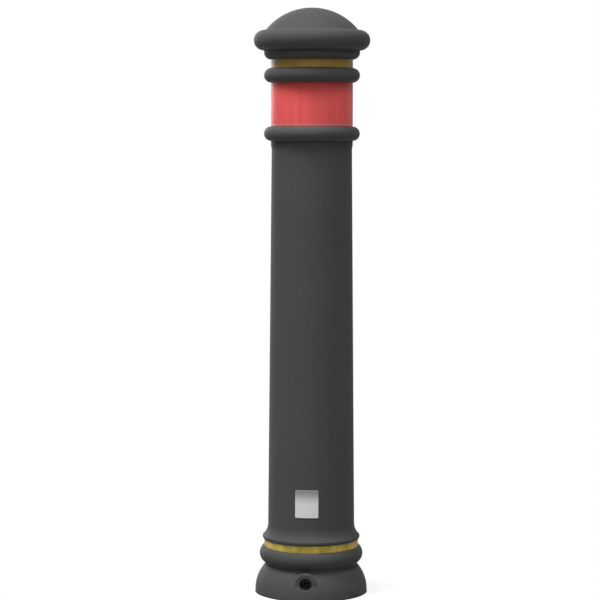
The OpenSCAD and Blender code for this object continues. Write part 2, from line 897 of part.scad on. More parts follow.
// Block on the inside of the core with a slot for part of the drawbar
module drawbar_guide(x0, x1, z0, h) {
    color(nylon)
        difference() {
            intersection() {
                translate([x0 - guide_wall, -core_in_r, z0])
                    cube([x1 - x0 + 2 * guide_wall, core_in_r - drawbar_y + run_clear + guide_wall, h]);
                translate([0, 0, z0 - cut]) cylinder(h = h + 2 * cut, r = core_in_r - seat_gap);
            }
            translate([x0 - run_clear, -drawbar_front_y - run_clear, z0 - cut])
                cube([x1 - x0 + 2 * run_clear, drawbar_t + 2 * run_clear, h + 2 * cut]);
        }
}

module drawbar_upper_guide() {
    drawbar_guide(arm_in_x, arm_out_x, arm_guide_top - arm_guide_h, arm_guide_h);
}

module drawbar_lower_guide() {
    drawbar_guide(-stem_r, stem_r, stem_guide_top - stem_guide_h, stem_guide_h);
}

// Bolt with a chamfered nose and a cross hole for its follower pin
module lock_bolt_right() {
    color(zinc)
        difference() {
            union() {
                side_bar(bolt_in_x, bolt_tip_x - bolt_chamfer, bolt_r, -bolt_y, bolt_z);
                translate([bolt_tip_x - bolt_chamfer, -bolt_y, bolt_z])
                    rotate([0, 90, 0]) cylinder(h = bolt_chamfer, r1 = bolt_r, r2 = bolt_r - bolt_chamfer);
            }
            translate([follower_x, 0, 0]) front_bar(0, drawbar_front_y, follower_r + seat_gap / 2, bolt_z);
        }
}

module bolt_pin_right() {
    color(dark_steel)
        translate([follower_x, 0, 0])
            front_bar(bolt_y - bolt_r / 2, drawbar_front_y + 0.5, follower_r, bolt_z);
}

module lock_bolt_left() { mirror([1, 0, 0]) lock_bolt_right(); }
module bolt_pin_left() { mirror([1, 0, 0]) bolt_pin_right(); }

// Bored block under the upper carriage plate
module bolt_guide_right() {
    color(dark_steel)
        difference() {
            translate([bolt_guide_x, -bolt_y - keeper_w / 2, bolt_z - keeper_w / 2])
                cube([bolt_guide_out_x - bolt_guide_x, keeper_w, plate_under - bolt_z + keeper_w / 2]);
            side_bar(0, bolt_tip_x, bolt_r + run_clear, -bolt_y, bolt_z);
        }
}

module bolt_guide_left() { mirror([1, 0, 0]) bolt_guide_right(); }

// Bored block on the casing's wall that takes the bolt's nose
module bolt_keeper_right() {
    color(dark_steel)
        difference() {
            intersection() {
                translate([keeper_x, -bolt_y - keeper_w / 2, bolt_z - keeper_w / 2])
                    cube([casing_r, keeper_w, keeper_w]);
                translate([0, 0, bolt_z - keeper_w]) cylinder(h = 2 * keeper_w, r = casing_in_r - seat_gap);
            }
            side_bar(0, casing_r, bolt_r + 2 * run_clear, -bolt_y, bolt_z);
        }
}

module bolt_keeper_left() { mirror([1, 0, 0]) bolt_keeper_right(); }

// Bracket with two cheeks, its seat at z = 0 and its pin hole at bracket_h
module pin_bracket() {
    cheek_x = eye_w / 2 + run_clear;
    difference() {
        union() {
            cylinder(h = bracket_base_t, r = cheek_x + cheek_t + bracket_lap);
            for (x = [cheek_x, -cheek_x - cheek_t])
                translate([x, 0, 0])
                    rotate([90, 0, 90])
                        linear_extrude(cheek_t)
                            union() {
                                translate([-cheek_w / 2, 0]) square([cheek_w, bracket_h]);
                                translate([0, bracket_h]) circle(cheek_w / 2);
                            }
        }
        side_bar(-cheek_x - cheek_t - cut, cheek_x + cheek_t + cut, end_pin_d / 2 + seat_gap, 0, bracket_h);
    }
}

// Headed pin through a bracket and the eye between its cheeks
module end_pin() {
    half = eye_w / 2 + run_clear + cheek_t;
    side_bar(-half - pin_end, half + pin_end, end_pin_d / 2, 0, 0);
    side_bar(half + seat_gap, half + pin_end, end_pin_d / 2 + pin_head_lap, 0, 0);
}

// Round eye on a shank that points up and stays narrower than the eye
module strut_eye(shank_h) {
    difference() {
        union() {
            side_bar(-eye_w / 2, eye_w / 2, eye_r, 0, 0);
            cylinder(h = shank_h, r = eye_w / 2 - 1);
        }
        side_bar(-eye_w, eye_w, end_pin_d / 2 + seat_gap, 0, 0);
    }
}

module strut_head_bracket() {
    color(dark_steel) translate([0, 0, head_seat_z]) mirror([0, 0, 1]) pin_bracket();
}

module strut_head_pin() {
    color(zinc) translate([0, 0, head_pin_z]) end_pin();
}

module strut_foot_bracket() {
    color(dark_steel) translate([0, 0, casing_floor]) pin_bracket();
}

module strut_foot_pin() {
    color(zinc) translate([0, 0, foot_pin_z]) end_pin();
}

module strut_cylinder() {
    color(rubber) {
        difference() {
            translate([0, 0, strut_bottom]) cylinder(h = strut_top - strut_bottom, r = strut_r);
            translate([0, 0, strut_bottom - cut])
                cylinder(h = strut_top - strut_end_t - strut_bottom + cut, r = strut_in_r);
        }
        translate([0, 0, head_pin_z]) mirror([0, 0, 1]) strut_eye(head_pin_z - strut_top + cut);
    }
}

module strut_gland() {
    color(brass) ring(strut_in_r - seat_gap, rod_r + run_clear, strut_bottom, strut_bottom + gland_h);
}

module strut_rod() {
    rod_z = foot_pin_z + eye_r + shank_room;
    color(zinc) {
        translate([0, 0, foot_pin_z]) strut_eye(eye_r + shank_room + cut);
        translate([0, 0, rod_z]) cylinder(h = piston_z + piston_h - rod_z, r = rod_r);
    }
}

module strut_piston() {
    color(nylon) ring(strut_in_r - run_clear, rod_r + seat_gap, piston_z, piston_z + piston_h);
}

// Screws, holes or bosses set evenly round a circle
module round_pattern(r, count, start) {
    for (i = [0 : count - 1])
        rotate([0, 0, start + i * 360 / count]) translate([r, 0, 0]) children();
}

module ground_collar() {
    color(zinc)
        difference() {
            union() {
                ring(collar_r, mouth_r, -collar_h, 0);
                ring(collar_flange_r, mouth_r, -collar_h, -collar_h + collar_flange_t);
            }
            translate([0, 0, -seat_t]) cylinder(h = seat_t + cut, r = mouth_r + seat_w);
            round_pattern(collar_screw_r, anchor_count, collar_screw_start) {
                translate([0, 0, -collar_h - cut])
                    cylinder(h = collar_flange_t + 2 * cut, r = collar_screw_d / 2 + seat_gap);
                translate([0, 0, collar_head_z])
                    cylinder(h = collar_head_h + cut, r = collar_head_r + seat_gap);
            }
        }
}

// Rubber seat that the rim rests on
module head_seat_ring() {
    color(rubber) ring(mouth_r + seat_w - seat_gap, mouth_r, -seat_t, 0);
}

module collar_screws() {
    socket_r = 0.45 * collar_screw_d;
    color(zinc)
        round_pattern(collar_screw_r, anchor_count, collar_screw_start)
            difference() {
                union() {
                    translate([0, 0, collar_head_z]) cylinder(h = collar_head_h, r = collar_head_r);
                    translate([0, 0, flange_under + cut])
                        cylinder(h = collar_head_z - flange_under, r = collar_screw_d / 2);
                }
                translate([0, 0, collar_head_z + collar_head_h / 2])
                    cylinder(h = collar_head_h, r = socket_r, $fn = 6);
            }
}

module stop_buffer_ring() {
    color(rubber) ring(carriage_r - stop_set_in, mouth_r + stop_mouth_gap, -collar_h - stop_t, -collar_h);
}

module casing_flange() {
    color(zinc)
        difference() {
            ring(flange_r, casing_in_r, flange_under, -collar_h);
            round_pattern(anchor_r, anchor_count, 0)
                translate([0, 0, flange_under - cut]) cylinder(h = flange_t + 2 * cut, r = anchor_hole_d / 2);
            round_pattern(collar_screw_r, anchor_count, collar_screw_start)
                translate([0, 0, flange_under - cut])
                    cylinder(h = flange_t + 2 * cut, r = collar_screw_d / 2 + seat_gap);
        }
}

module casing_tube() {
    color(zinc) ring(casing_r, casing_in_r, casing_floor, flange_under);
}

// Flat bars that key the casing into its concrete
module anchor_lugs() {
    color(zinc)
        round_pattern(casing_r + seat_gap, lug_count, 0)
            translate([0, 0, lug_z])
                rotate([90, 0, 0])
                    linear_extrude(lug_t, center = true)
                        difference() {
                            union() {
                                square([lug_reach - lug_h / 2, lug_h]);
                                translate([lug_reach - lug_h / 2, lug_h / 2]) circle(lug_h / 2);
                            }
                            translate([lug_reach - lug_h / 2, lug_h / 2]) circle(lug_hole_d / 2);
                        }
}

module guide_rail(a) {
    color(zinc)
        rotate([0, 0, a])
            intersection() {
                translate([rail_in_r, -rail_t / 2, casing_floor])
                    cube([casing_r, rail_t, flange_under - casing_floor]);
                translate([0, 0, casing_floor])
                    cylinder(h = -casing_floor, r = casing_in_r - seat_gap);
            }
}

module casing_base_plate() {
    color(zinc)
        difference() {
            translate([0, 0, casing_bottom]) cylinder(h = base_plate_t, r = casing_r);
            translate([0, drain_y, casing_bottom - cut]) cylinder(h = base_plate_t + 2 * cut, r = drain_in_r);
        }
}

module drain_spigot() {
    color(zinc) translate([0, drain_y, 0]) ring(drain_r, drain_in_r, casing_bottom - drain_h, casing_bottom);
}

// Pierced disc over the drain
module drain_strainer() {
    pattern_r = (drain_in_r + strainer_hole_r) / 2;
    color(zinc)
        translate([0, drain_y, casing_floor])
            difference() {
                cylinder(h = strainer_t, r = drain_r + strainer_lap);
                translate([0, 0, -cut]) cylinder(h = strainer_t + 2 * cut, r = strainer_hole_r);
                round_pattern(pattern_r, strainer_hole_count, 0)
                    translate([0, 0, -cut]) cylinder(h = strainer_t + 2 * cut, r = strainer_hole_r);
            }
}

// Rubber feet that the lower carriage plate comes down on
module lower_buffers() {
    color(rubber)
        for (a = buffer_angles)
            rotate([0, 0, a])
                translate([fixing_r, 0, casing_floor])
                    cylinder(h = buffer_h, r1 = buffer_d / 2, r2 = buffer_d / 2 - buffer_taper);
}

post_sleeve();
dome_cap();
upper_gold_band();
reflective_band();
lower_gold_band();
core_tube();
head_plate();
cap_tie_rod();
tie_rod_nut();
lifting_bush();
upper_centring_ring();
middle_centring_ring();
lower_centring_ring();
foot_plate();
sleeve_screws();
carriage_upper_plate();
carriage_lower_plate();
guide_shoe(corner_angles[0]);  // guide_shoe_front_right
guide_shoe(corner_angles[1]);  // guide_shoe_rear_right
guide_shoe(corner_angles[2]);  // guide_shoe_rear_left
guide_shoe(corner_angles[3]);  // guide_shoe_front_left
shoe_screws();
lock_housing();
bolt_guide_left();
bolt_guide_right();
drawbar_upper_guide();
drawbar_lower_guide();
key_barrel();
lock_pinion();
barrel_circlip();
lock_drawbar();
lock_bolt_left();
bolt_pin_left();
lock_bolt_right();
bolt_pin_right();
strut_head_bracket();
strut_head_pin();
strut_cylinder();
strut_gland();
strut_rod();
strut_piston();
strut_foot_bracket();
strut_foot_pin();
ground_collar();
head_seat_ring();
collar_screws();
stop_buffer_ring();
casing_flange();
casing_tube();
anchor_lugs();
guide_rail(corner_angles[0]);  // guide_rail_front_right
guide_rail(corner_angles[1]);  // guide_rail_rear_right
guide_rail(corner_angles[2]);  // guide_rail_rear_left
guide_rail(corner_angles[3]);  // guide_rail_front_left
bolt_keeper_left();
bolt_keeper_right();
casing_base_plate();
drain_spigot();
drain_strainer();
lower_buffers();
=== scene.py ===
import json
import math

import bmesh
import bpy
import numpy as np
from mathutils import Euler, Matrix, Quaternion, Vector


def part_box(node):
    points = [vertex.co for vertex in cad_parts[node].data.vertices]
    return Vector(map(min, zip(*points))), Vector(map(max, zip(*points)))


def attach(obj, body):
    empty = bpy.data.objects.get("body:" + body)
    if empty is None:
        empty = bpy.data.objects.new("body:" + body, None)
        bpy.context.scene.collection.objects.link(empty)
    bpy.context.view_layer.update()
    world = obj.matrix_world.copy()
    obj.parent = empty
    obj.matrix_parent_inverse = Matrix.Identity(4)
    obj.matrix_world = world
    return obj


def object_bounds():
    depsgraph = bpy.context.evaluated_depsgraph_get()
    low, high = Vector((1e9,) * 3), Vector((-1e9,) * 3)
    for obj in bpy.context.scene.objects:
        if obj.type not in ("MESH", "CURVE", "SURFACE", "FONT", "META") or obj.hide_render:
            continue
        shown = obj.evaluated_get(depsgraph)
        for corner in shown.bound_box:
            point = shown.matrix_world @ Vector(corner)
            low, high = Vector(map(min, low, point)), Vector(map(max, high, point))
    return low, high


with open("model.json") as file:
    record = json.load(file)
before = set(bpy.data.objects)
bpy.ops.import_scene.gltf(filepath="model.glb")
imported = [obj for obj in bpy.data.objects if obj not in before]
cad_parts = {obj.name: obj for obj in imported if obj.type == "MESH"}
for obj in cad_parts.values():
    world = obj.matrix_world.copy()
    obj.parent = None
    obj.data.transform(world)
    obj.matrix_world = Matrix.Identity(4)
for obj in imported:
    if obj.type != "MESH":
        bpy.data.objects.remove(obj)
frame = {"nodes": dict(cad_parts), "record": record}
nodes = frame["nodes"]
cadBox = [list(corner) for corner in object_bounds()]
mm = 0.001  # sizes below are in millimetres and are multiplied by this, unless they say metres


def hexColour(code):
    # sRGB hex to the linear values that the shaders take
    steps = [int(code[i:i + 2], 16) / 255 for i in (1, 3, 5)]
    return [s / 12.92 if s <= 0.04045 else ((s + 0.055) / 1.055) ** 2.4 for s in steps] + [1.0]


def addNode(tree, kind, inputs=None, **settings):
    # one node: settings are its own switches, inputs are values or the sockets that feed it.
    # A Mix node's inputs go by number: 0 is the share, 2 and 3 are two values, 6 and 7 two
    # colours; the mixed colour is its output 2
    node = tree.nodes.new(kind)
    for name, value in settings.items():
        setattr(node, name, value)
    for key, value in (inputs or {}).items():
        if isinstance(value, bpy.types.NodeSocket):
            tree.links.new(value, node.inputs[key])
        else:
            node.inputs[key].default_value = value
    return node


def startFinish(name):
    # an empty material, its node tree and the object coordinates that its patterns stand on
    material = bpy.data.materials.new(name)
    material.use_nodes = True
    material.node_tree.nodes.clear()
    place = addNode(material.node_tree, "ShaderNodeTexCoord").outputs["Object"]
    return material, material.node_tree, place


def perMetre(size):
    # texture scale that gives features of this size in millimetres
    return 1000 / size


waveShare = 2 * math.pi / 20  # the wave texture runs through 20 radians for each unit of its scale


polymerLook = {"dark": "#3f3f40", "light": "#474747", "cloud": 150,
               "grain": 1.4, "grainDepth": 0.3, "grainFrom": 0.25, "grainTo": 0.75,
               "grainLight": 1.14, "grainDark": 0.86, "bump": 0.5,
               "roughLow": 0.68, "roughHigh": 0.80, "ior": 1.5, "specular": 0.08}


def mouldedPolymer():
    # UV-stable polyethylene, rotationally moulded in a blasted tool: charcoal all through, satin,
    # with a fine pebble that spreads each highlight and faint clouds where the powder melted
    material, tree, place = startFinish("moulded_polyethylene_charcoal")
    look = polymerLook
    cloud = addNode(tree, "ShaderNodeTexNoise",
                    {"Vector": place, "Scale": perMetre(look["cloud"]), "Detail": 4.0})
    grain = addNode(tree, "ShaderNodeTexNoise",
                    {"Vector": place, "Scale": perMetre(look["grain"]), "Detail": 2.0})
    tone = addNode(tree, "ShaderNodeMix",
                   {0: cloud.outputs["Fac"], 6: hexColour(look["dark"]),
                    7: hexColour(look["light"])}, data_type="RGBA")
    rough = addNode(tree, "ShaderNodeMapRange",
                    {"Value": cloud.outputs["Fac"], "To Min": look["roughLow"],
                     "To Max": look["roughHigh"]})
    # the real pebble is about 0.3 mm, drawn coarser so that it shows, with dust in its hollows
    shade = addNode(tree, "ShaderNodeMapRange",
                    {"Value": grain.outputs["Fac"], "From Min": look["grainFrom"],
                     "From Max": look["grainTo"], "To Min": look["grainLight"],
                     "To Max": look["grainDark"]})
    tone = addNode(tree, "ShaderNodeMix", {0: 1.0, 6: tone.outputs[2], 7: shade.outputs[0]},
                   data_type="RGBA", blend_type="MULTIPLY")
    bump = addNode(tree, "ShaderNodeBump",
                   {"Height": grain.outputs["Fac"], "Strength": look["bump"],
                    "Distance": look["grainDepth"] * mm})
    surface = addNode(tree, "ShaderNodeBsdfPrincipled",
                      {"Base Color": tone.outputs[2], "Roughness": rough.outputs[0],
                       "Normal": bump.outputs[0], "IOR": look["ior"],
                       "Specular IOR Level": look["specular"]})
    addNode(tree, "ShaderNodeOutputMaterial", {"Surface": surface.outputs[0]})
    return material


goldLook = {"dark": "#907d32", "light": "#c6af5a", "patch": 16, "patchFrom": 0.3, "patchTo": 0.7,
            "squash": (1, 1, 0.35), "shift": (57, 28, 0),
            # painted shade under the cap: its brown, and how far below the band's top it starts and
            # where it is full, in mm
            "paintedCapShade": "#8d7338", "capShadeReach": 22, "capShadeFull": 2,
            "streak": 3, "stretch": (0.08, 0.08, 1), "streakDepth": 0.06, "bump": 0.35,
            "rough": 0.5, "specular": 0.15}


def goldFilm():
    # metallised polyester film, laid on by hand: satin gold, uneven in patches,
    # with faint lines along the band
    material, tree, place = startFinish("metallised_polyester_gold")
    look = goldLook
    flat = addNode(tree, "ShaderNodeMapping",
                   {"Vector": place, "Scale": look["squash"],
                    "Location": [step * mm for step in look["shift"]]})
    patch = addNode(tree, "ShaderNodeTexNoise",
                    {"Vector": flat.outputs[0], "Scale": perMetre(look["patch"]), "Detail": 3.0})
    spread = addNode(tree, "ShaderNodeMapRange",
                     {"Value": patch.outputs["Fac"], "From Min": look["patchFrom"],
                      "From Max": look["patchTo"]})
    tone = addNode(tree, "ShaderNodeMix",
                   {0: spread.outputs[0], 6: hexColour(look["dark"]),
                    7: hexColour(look["light"])}, data_type="RGBA")
    # painted shade: the upper band is darkened to a brown, most closely under the cap, where the
    # overhang of the cap shades it
    height = addNode(tree, "ShaderNodeSeparateXYZ", {"Vector": place})
    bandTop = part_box("upper_gold_band")[1][2]
    paintedCapShade = addNode(tree, "ShaderNodeMapRange",
                   {"Value": height.outputs[2], "From Min": bandTop - look["capShadeReach"] * mm,
                    "From Max": bandTop - look["capShadeFull"] * mm})
    shadePainted = addNode(tree, "ShaderNodeMix",
                     {0: paintedCapShade.outputs[0], 6: tone.outputs[2], 7: hexColour(look["paintedCapShade"])},
                     data_type="RGBA")
    along = addNode(tree, "ShaderNodeMapping", {"Vector": place, "Scale": look["stretch"]})
    line = addNode(tree, "ShaderNodeTexNoise",
                   {"Vector": along.outputs[0], "Scale": perMetre(look["streak"]), "Detail": 2.0})
    bump = addNode(tree, "ShaderNodeBump",
                   {"Height": line.outputs["Fac"], "Strength": look["bump"],
                    "Distance": look["streakDepth"] * mm})
    surface = addNode(tree, "ShaderNodeBsdfPrincipled",
                      {"Base Color": shadePainted.outputs[2], "Roughness": look["rough"],
                       "Normal": bump.outputs[0], "Specular IOR Level": look["specular"]})
    addNode(tree, "ShaderNodeOutputMaterial", {"Surface": surface.outputs[0]})
    return material


redLook = {"deep": "#c84a49", "bright": "#e2605e", "streak": 7, "stretch": (1, 1, 0.04),
           "bandR": 69.6, "cell": 4.0, "slope": 0.577, "line": 0.5, "lineShade": 0.84,
           "lineDepth": 0.1, "bump": 0.5,
           # painted shadow of the ring above: its colour, the heights it fades between, and the
           # slant of its edge
           "paintedRingShade": "#d8d0ce", "ringShadeLow": 862, "ringShadeHigh": 896, "ringShadeLean": (0.063, -0.363, 1),
           "edge": "#be7a74", "edgeZ": 803.0, "edgeHalf": 0.9,
           "rough": 0.5, "ior": 1.49, "specular": 0.12}


def redSheeting():
    # microprismatic reflective sheeting: clear acrylic face over red cells, a diamond lattice,
    # faint upright streaks from the roll, and a pale bead of sealant along the lower edge
    material, tree, place = startFinish("acrylic_reflective_sheeting_red")
    look = redLook
    upright = addNode(tree, "ShaderNodeMapping", {"Vector": place, "Scale": look["stretch"]})
    streak = addNode(tree, "ShaderNodeTexNoise",
                     {"Vector": upright.outputs[0], "Scale": perMetre(look["streak"]),
                      "Detail": 3.0})
    tone = addNode(tree, "ShaderNodeMix",
                   {0: streak.outputs["Fac"], 6: hexColour(look["deep"]),
                    7: hexColour(look["bright"])}, data_type="RGBA")
    axes = addNode(tree, "ShaderNodeSeparateXYZ", {"Vector": place})
    # distance round the band, from the angle about the post's axis and the band's radius
    angle = addNode(tree, "ShaderNodeMath", {0: axes.outputs[1], 1: axes.outputs[0]},
                    operation="ARCTAN2")
    girth = addNode(tree, "ShaderNodeMath", {0: angle.outputs[0], 1: look["bandR"] * mm},
                    operation="MULTIPLY")
    # two sets of slanting lines make the lattice; its lines are darker and a little sunk
    lines = []
    for slope in (look["slope"], -look["slope"]):
        slant = addNode(tree, "ShaderNodeMath",
                        {0: axes.outputs[2], 1: slope, 2: girth.outputs[0]},
                        operation="MULTIPLY_ADD")
        lines.append(addNode(tree, "ShaderNodeMath",
                             {0: slant.outputs[0], 1: look["cell"] * mm / 2},
                             operation="PINGPONG"))
    lattice = addNode(tree, "ShaderNodeMath", {0: lines[0].outputs[0], 1: lines[1].outputs[0]},
                      operation="MINIMUM")
    cell = addNode(tree, "ShaderNodeMapRange",
                   {"Value": lattice.outputs[0], "From Max": look["line"] * mm})
    bump = addNode(tree, "ShaderNodeBump",
                   {"Height": cell.outputs[0], "Strength": look["bump"],
                    "Distance": look["lineDepth"] * mm})
    ruled = addNode(tree, "ShaderNodeMapRange",
                    {"Value": cell.outputs[0], "To Min": look["lineShade"]})
    tone = addNode(tree, "ShaderNodeMix", {0: 1.0, 6: tone.outputs[2], 7: ruled.outputs[0]},
                   data_type="RGBA", blend_type="MULTIPLY")
    # painted shadow of the ring above: the top of the band is darkened, reaching lowest at the
    # front
    leant = addNode(tree, "ShaderNodeVectorMath", {0: place, 1: look["ringShadeLean"]},
                    operation="DOT_PRODUCT")
    paintedRingShade = addNode(tree, "ShaderNodeMapRange",
                    {"Value": leant.outputs["Value"], "From Min": look["ringShadeLow"] * mm,
                     "From Max": look["ringShadeHigh"] * mm}, interpolation_type="SMOOTHSTEP")
    shadePainted = addNode(tree, "ShaderNodeMix",
                     {0: paintedRingShade.outputs[0], 6: tone.outputs[2], 7: hexColour(look["paintedRingShade"])},
                     data_type="RGBA", blend_type="MULTIPLY")
    sealant = addNode(tree, "ShaderNodeMath",
                      {0: axes.outputs[2], 1: look["edgeZ"] * mm, 2: look["edgeHalf"] * mm},
                      operation="COMPARE")
    edged = addNode(tree, "ShaderNodeMix",
                    {0: sealant.outputs[0], 6: shadePainted.outputs[2], 7: hexColour(look["edge"])},
                    data_type="RGBA")
    surface = addNode(tree, "ShaderNodeBsdfPrincipled",
                      {"Base Color": edged.outputs[2], "Roughness": look["rough"],
                       "Normal": bump.outputs[0], "IOR": look["ior"],
                       "Specular IOR Level": look["specular"]})
    addNode(tree, "ShaderNodeOutputMaterial", {"Surface": surface.outputs[0]})
    return material


zincDipLook = {"dark": "#989da0", "light": "#bfc3c5", "spangle": 11, "feather": 3.5, "dull": 60,
               "dullDepth": 0.3, "bump": 0.25, "roughLow": 0.36, "roughHigh": 0.5,
               "metallic": 0.85}


def dippedSteel():
    # hot-dip galvanised mild steel: zinc crystals in flat grey facets, each with its own gloss,
    # dulled in clouds
    material, tree, place = startFinish("galvanised_steel_spangled")
    look = zincDipLook
    # the crystals' edges are feathered by a fine noise
    fern = addNode(tree, "ShaderNodeTexNoise",
                   {"Vector": place, "Scale": perMetre(look["feather"]), "Detail": 3.0})
    bent = addNode(tree, "ShaderNodeVectorMath",
                   {0: fern.outputs["Color"], 1: [look["feather"] * mm] * 3, 2: place},
                   operation="MULTIPLY_ADD")
    spangle = addNode(tree, "ShaderNodeTexVoronoi",
                      {"Vector": bent.outputs[0], "Scale": perMetre(look["spangle"])})
    facet = addNode(tree, "ShaderNodeSeparateColor", {"Color": spangle.outputs["Color"]})
    dull = addNode(tree, "ShaderNodeTexNoise",
                   {"Vector": place, "Scale": perMetre(look["dull"]), "Detail": 5.0})
    shade = addNode(tree, "ShaderNodeMath", {0: facet.outputs[0], 1: dull.outputs["Fac"]},
                    operation="MULTIPLY")
    tone = addNode(tree, "ShaderNodeMix",
                   {0: shade.outputs[0], 6: hexColour(look["dark"]),
                    7: hexColour(look["light"])}, data_type="RGBA")
    rough = addNode(tree, "ShaderNodeMapRange",
                    {"Value": facet.outputs[1], "To Min": look["roughLow"],
                     "To Max": look["roughHigh"]})
    bump = addNode(tree, "ShaderNodeBump",
                   {"Height": dull.outputs["Fac"], "Strength": look["bump"],
                    "Distance": look["dullDepth"] * mm})
    surface = addNode(tree, "ShaderNodeBsdfPrincipled",
                      {"Base Color": tone.outputs[2], "Roughness": rough.outputs[0],
                       "Metallic": look["metallic"], "Normal": bump.outputs[0]})
    addNode(tree, "ShaderNodeOutputMaterial", {"Surface": surface.outputs[0]})
    return material


platedLook = {"cool": "#aeb3b8", "warm": "#c2bda6", "stain": 14, "grit": 0.9, "gritDepth": 0.03,
              "bump": 0.15, "rough": 0.3}


def platedSteel():
    # bright zinc plate on screws and bolts: silvery, with faint straw and blue stains
    # from the passivation
    material, tree, place = startFinish("zinc_plated_steel")
    look = platedLook
    stain = addNode(tree, "ShaderNodeTexNoise",
                    {"Vector": place, "Scale": perMetre(look["stain"]), "Detail": 3.0})
    tone = addNode(tree, "ShaderNodeMix",
                   {0: stain.outputs["Fac"], 6: hexColour(look["cool"]),
                    7: hexColour(look["warm"])}, data_type="RGBA")
    grit = addNode(tree, "ShaderNodeTexNoise",
                   {"Vector": place, "Scale": perMetre(look["grit"]), "Detail": 2.0})
    bump = addNode(tree, "ShaderNodeBump",
                   {"Height": grit.outputs["Fac"], "Strength": look["bump"],
                    "Distance": look["gritDepth"] * mm})
    surface = addNode(tree, "ShaderNodeBsdfPrincipled",
                      {"Base Color": tone.outputs[2], "Roughness": look["rough"],
                       "Metallic": 1.0, "Normal": bump.outputs[0]})
    addNode(tree, "ShaderNodeOutputMaterial", {"Surface": surface.outputs[0]})
    return material


oiledLook = {"dark": "#1e2022", "light": "#323538", "scratch": 1.2, "stretch": (0.05, 1, 1),
             "scratchDepth": 0.03, "bump": 0.2, "film": 22, "roughLow": 0.28, "roughHigh": 0.5,
             "metallic": 0.9}


def oiledSteel():
    # ground tool steel, blackened and oiled: dark grey with grinding lines, drawn coarser than
    # the real ones so that they show, and a smeary oil film
    material, tree, place = startFinish("blackened_tool_steel")
    look = oiledLook
    ground = addNode(tree, "ShaderNodeMapping", {"Vector": place, "Scale": look["stretch"]})
    scratch = addNode(tree, "ShaderNodeTexNoise",
                      {"Vector": ground.outputs[0], "Scale": perMetre(look["scratch"]),
                       "Detail": 2.0})
    film = addNode(tree, "ShaderNodeTexNoise",
                   {"Vector": place, "Scale": perMetre(look["film"]), "Detail": 4.0})
    tone = addNode(tree, "ShaderNodeMix",
                   {0: scratch.outputs["Fac"], 6: hexColour(look["dark"]),
                    7: hexColour(look["light"])}, data_type="RGBA")
    rough = addNode(tree, "ShaderNodeMapRange",
                    {"Value": film.outputs["Fac"], "To Min": look["roughLow"],
                     "To Max": look["roughHigh"]})
    bump = addNode(tree, "ShaderNodeBump",
                   {"Height": scratch.outputs["Fac"], "Strength": look["bump"],
                    "Distance": look["scratchDepth"] * mm})
    surface = addNode(tree, "ShaderNodeBsdfPrincipled",
                      {"Base Color": tone.outputs[2], "Roughness": rough.outputs[0],
                       "Metallic": look["metallic"], "Normal": bump.outputs[0]})
    addNode(tree, "ShaderNodeOutputMaterial", {"Surface": surface.outputs[0]})
    return material


brassLook = {"dark": "#9c7a33", "light": "#c9a64e", "tarnish": 9, "turning": 1.2,
             "turningDepth": 0.03, "bump": 0.15, "rough": 0.42}


def turnedBrass():
    # free-cutting brass, turned: warm yellow with brown tarnish in patches and rings from the
    # tool, drawn coarser than the real feed so that they show
    material, tree, place = startFinish("turned_brass")
    look = brassLook
    tarnish = addNode(tree, "ShaderNodeTexNoise",
                      {"Vector": place, "Scale": perMetre(look["tarnish"]), "Detail": 4.0})
    tone = addNode(tree, "ShaderNodeMix",
                   {0: tarnish.outputs["Fac"], 6: hexColour(look["dark"]),
                    7: hexColour(look["light"])}, data_type="RGBA")
    rings = addNode(tree, "ShaderNodeTexWave",
                    {"Vector": place, "Scale": perMetre(look["turning"]) * waveShare},
                    wave_type="RINGS", rings_direction="Z")
    bump = addNode(tree, "ShaderNodeBump",
                   {"Height": rings.outputs["Fac"], "Strength": look["bump"],
                    "Distance": look["turningDepth"] * mm})
    surface = addNode(tree, "ShaderNodeBsdfPrincipled",
                      {"Base Color": tone.outputs[2], "Roughness": look["rough"],
                       "Metallic": 1.0, "Normal": bump.outputs[0]})
    addNode(tree, "ShaderNodeOutputMaterial", {"Surface": surface.outputs[0]})
    return material


enamelLook = {"dark": "#121213", "light": "#1c1c1e", "ripple": 3, "rippleDepth": 0.05,
              "bump": 0.2, "rough": 0.18, "coat": 0.4}


def blackEnamel():
    # stoved black enamel on the strut's tube: glossy, with the slight ripple of a sprayed coat
    material, tree, place = startFinish("stoved_black_enamel")
    look = enamelLook
    ripple = addNode(tree, "ShaderNodeTexNoise",
                     {"Vector": place, "Scale": perMetre(look["ripple"]), "Detail": 1.0})
    tone = addNode(tree, "ShaderNodeMix",
                   {0: ripple.outputs["Fac"], 6: hexColour(look["dark"]),
                    7: hexColour(look["light"])}, data_type="RGBA")
    bump = addNode(tree, "ShaderNodeBump",
                   {"Height": ripple.outputs["Fac"], "Strength": look["bump"],
                    "Distance": look["rippleDepth"] * mm})
    surface = addNode(tree, "ShaderNodeBsdfPrincipled",
                      {"Base Color": tone.outputs[2], "Roughness": look["rough"],
                       "Normal": bump.outputs[0], "Coat Weight": look["coat"]})
    addNode(tree, "ShaderNodeOutputMaterial", {"Surface": surface.outputs[0]})
    return material


chromeLook = {"dark": "#c4c7ca", "light": "#d2d4d6", "polish": 0.8, "stretch": (0.1, 0.1, 1),
              "roughLow": 0.06, "roughHigh": 0.14}


